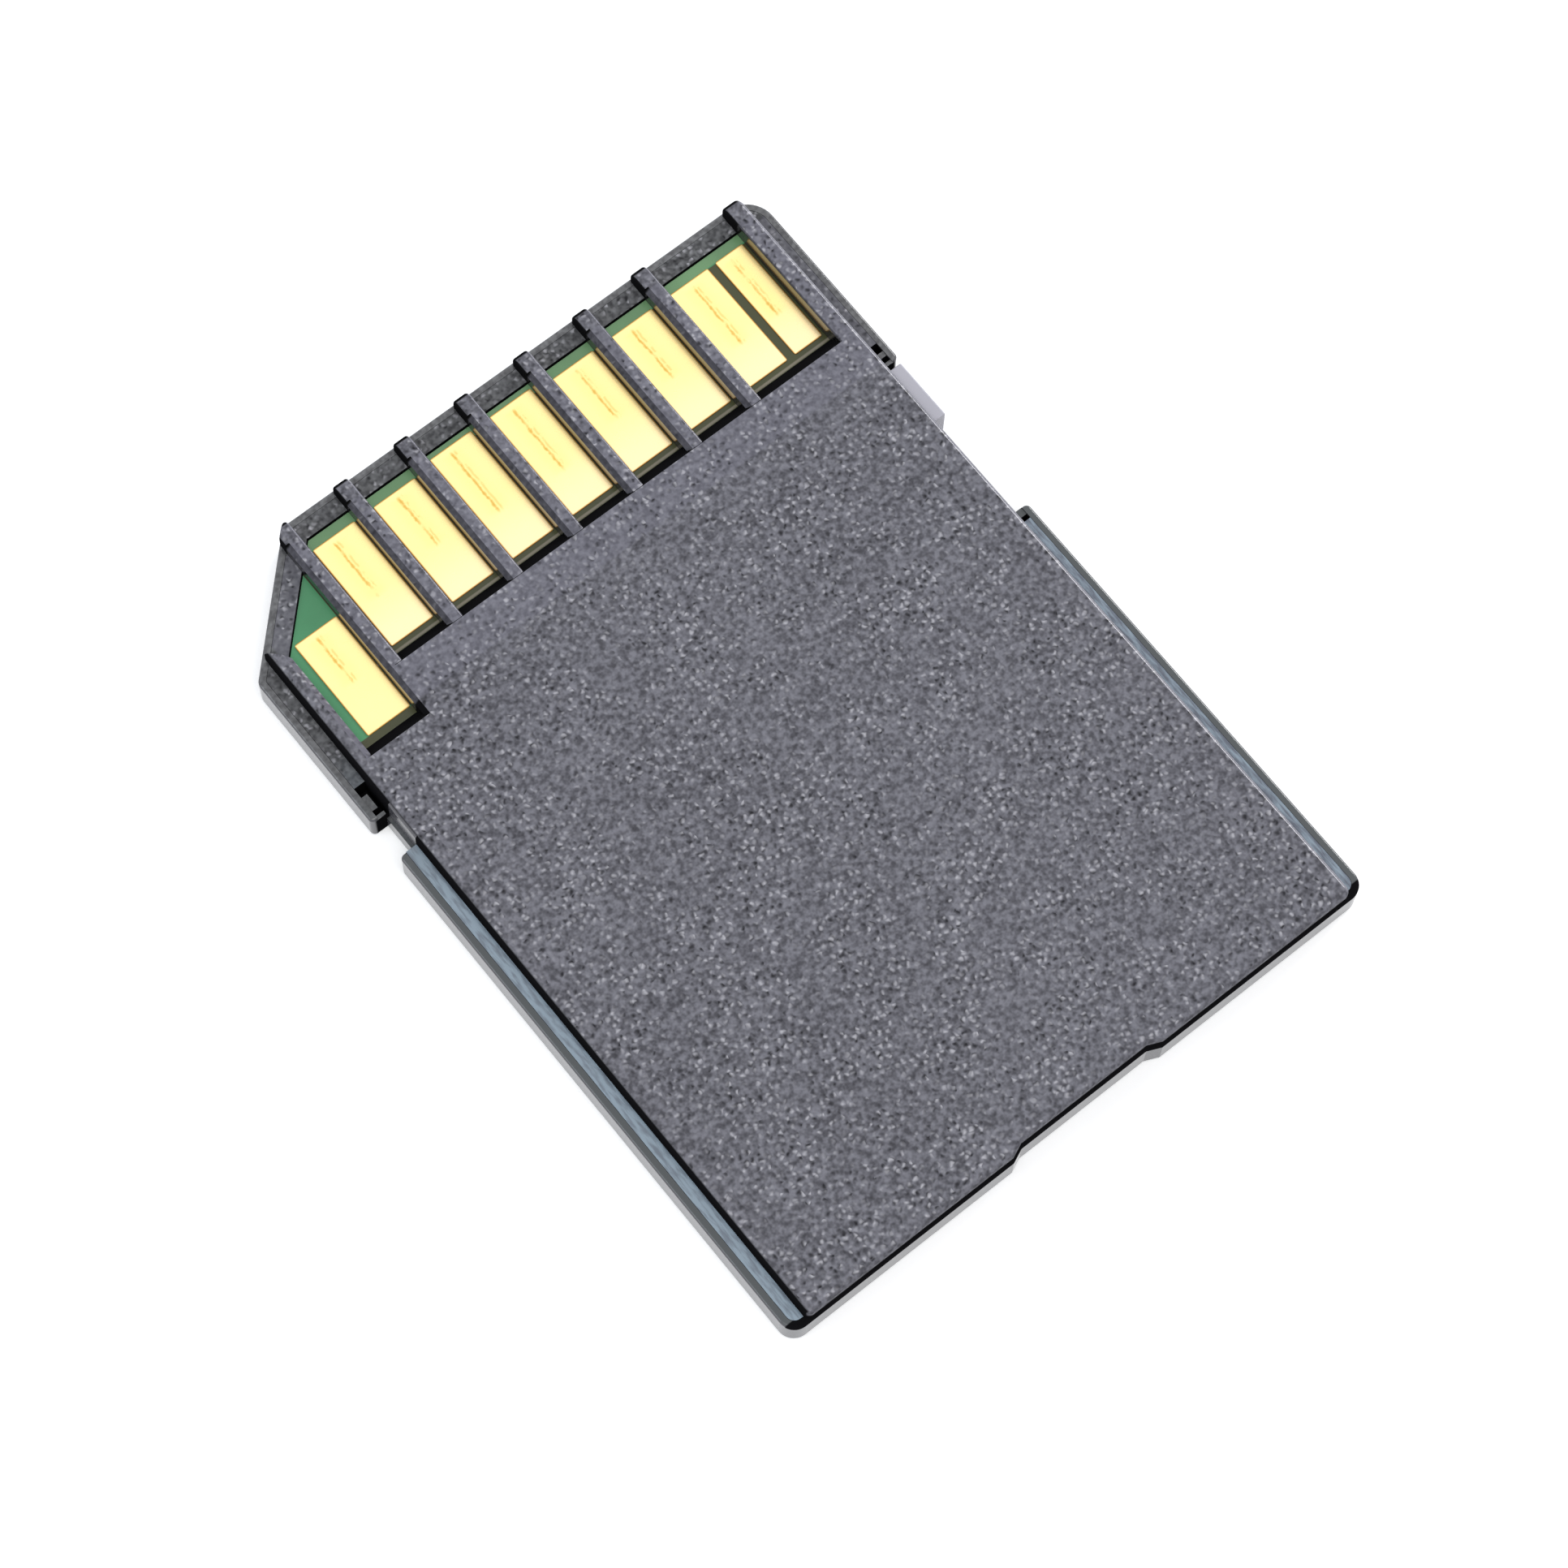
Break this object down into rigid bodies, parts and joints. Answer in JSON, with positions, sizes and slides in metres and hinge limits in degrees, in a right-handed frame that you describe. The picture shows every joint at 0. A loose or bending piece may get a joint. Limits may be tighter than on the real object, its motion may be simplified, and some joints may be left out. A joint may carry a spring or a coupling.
{
  "type": "memory card",
  "caption": "Full-size camera memory card lying contact side up: charcoal shells, gold contacts in ribbed windows, a cut corner and a sliding write-protect tab.",
  "frame": {"origin": "Middle of the label face, which lies on z = 0.", "axes": "+Y to the contact (leading) edge, +X to the write-protect slider's side, +Z out of the contact face."},
  "size_m": [0.024, 0.032, 0.0021],
  "materials": {
    "shell_plastic": "charcoal plastic, spark-eroded on the contact face",
    "board_mask": "green solder mask",
    "contact_gold": "gold plate with wipe marks",
    "slider_plastic": "light grey satin plastic",
    "chip_package": "black moulding compound",
    "capacitor_ceramic": "tan ceramic"
  },
  "bodies": {
    "card": {"back_cover": "shell_plastic", "front_cover": "shell_plastic", "circuit_board": "board_mask", "flash_memory_chip": "chip_package", "controller_chip": "chip_package", "contact_pad_1": "contact_gold", "contact_pad_2": "contact_gold", "contact_pad_3": "contact_gold", "contact_pad_4": "contact_gold", "contact_pad_5": "contact_gold", "contact_pad_6": "contact_gold", "contact_pad_7": "contact_gold", "contact_pad_8": "contact_gold", "contact_pad_9": "contact_gold", "capacitor_1": "capacitor_ceramic", "capacitor_2": "capacitor_ceramic", "capacitor_3": "capacitor_ceramic", "capacitor_4": "capacitor_ceramic", "resistor_1": "chip_package", "resistor_2": "chip_package", "resistor_3": "chip_package", "resistor_4": "chip_package"},
    "slider": {"write_protect_slider": "slider_plastic"}
  },
  "joints": [
    {"name": "write_protect_slide", "type": "slide", "parent": "card", "child": "slider", "axis": [0, -1, 0], "range_m": [0, 0.004]}
  ]
}
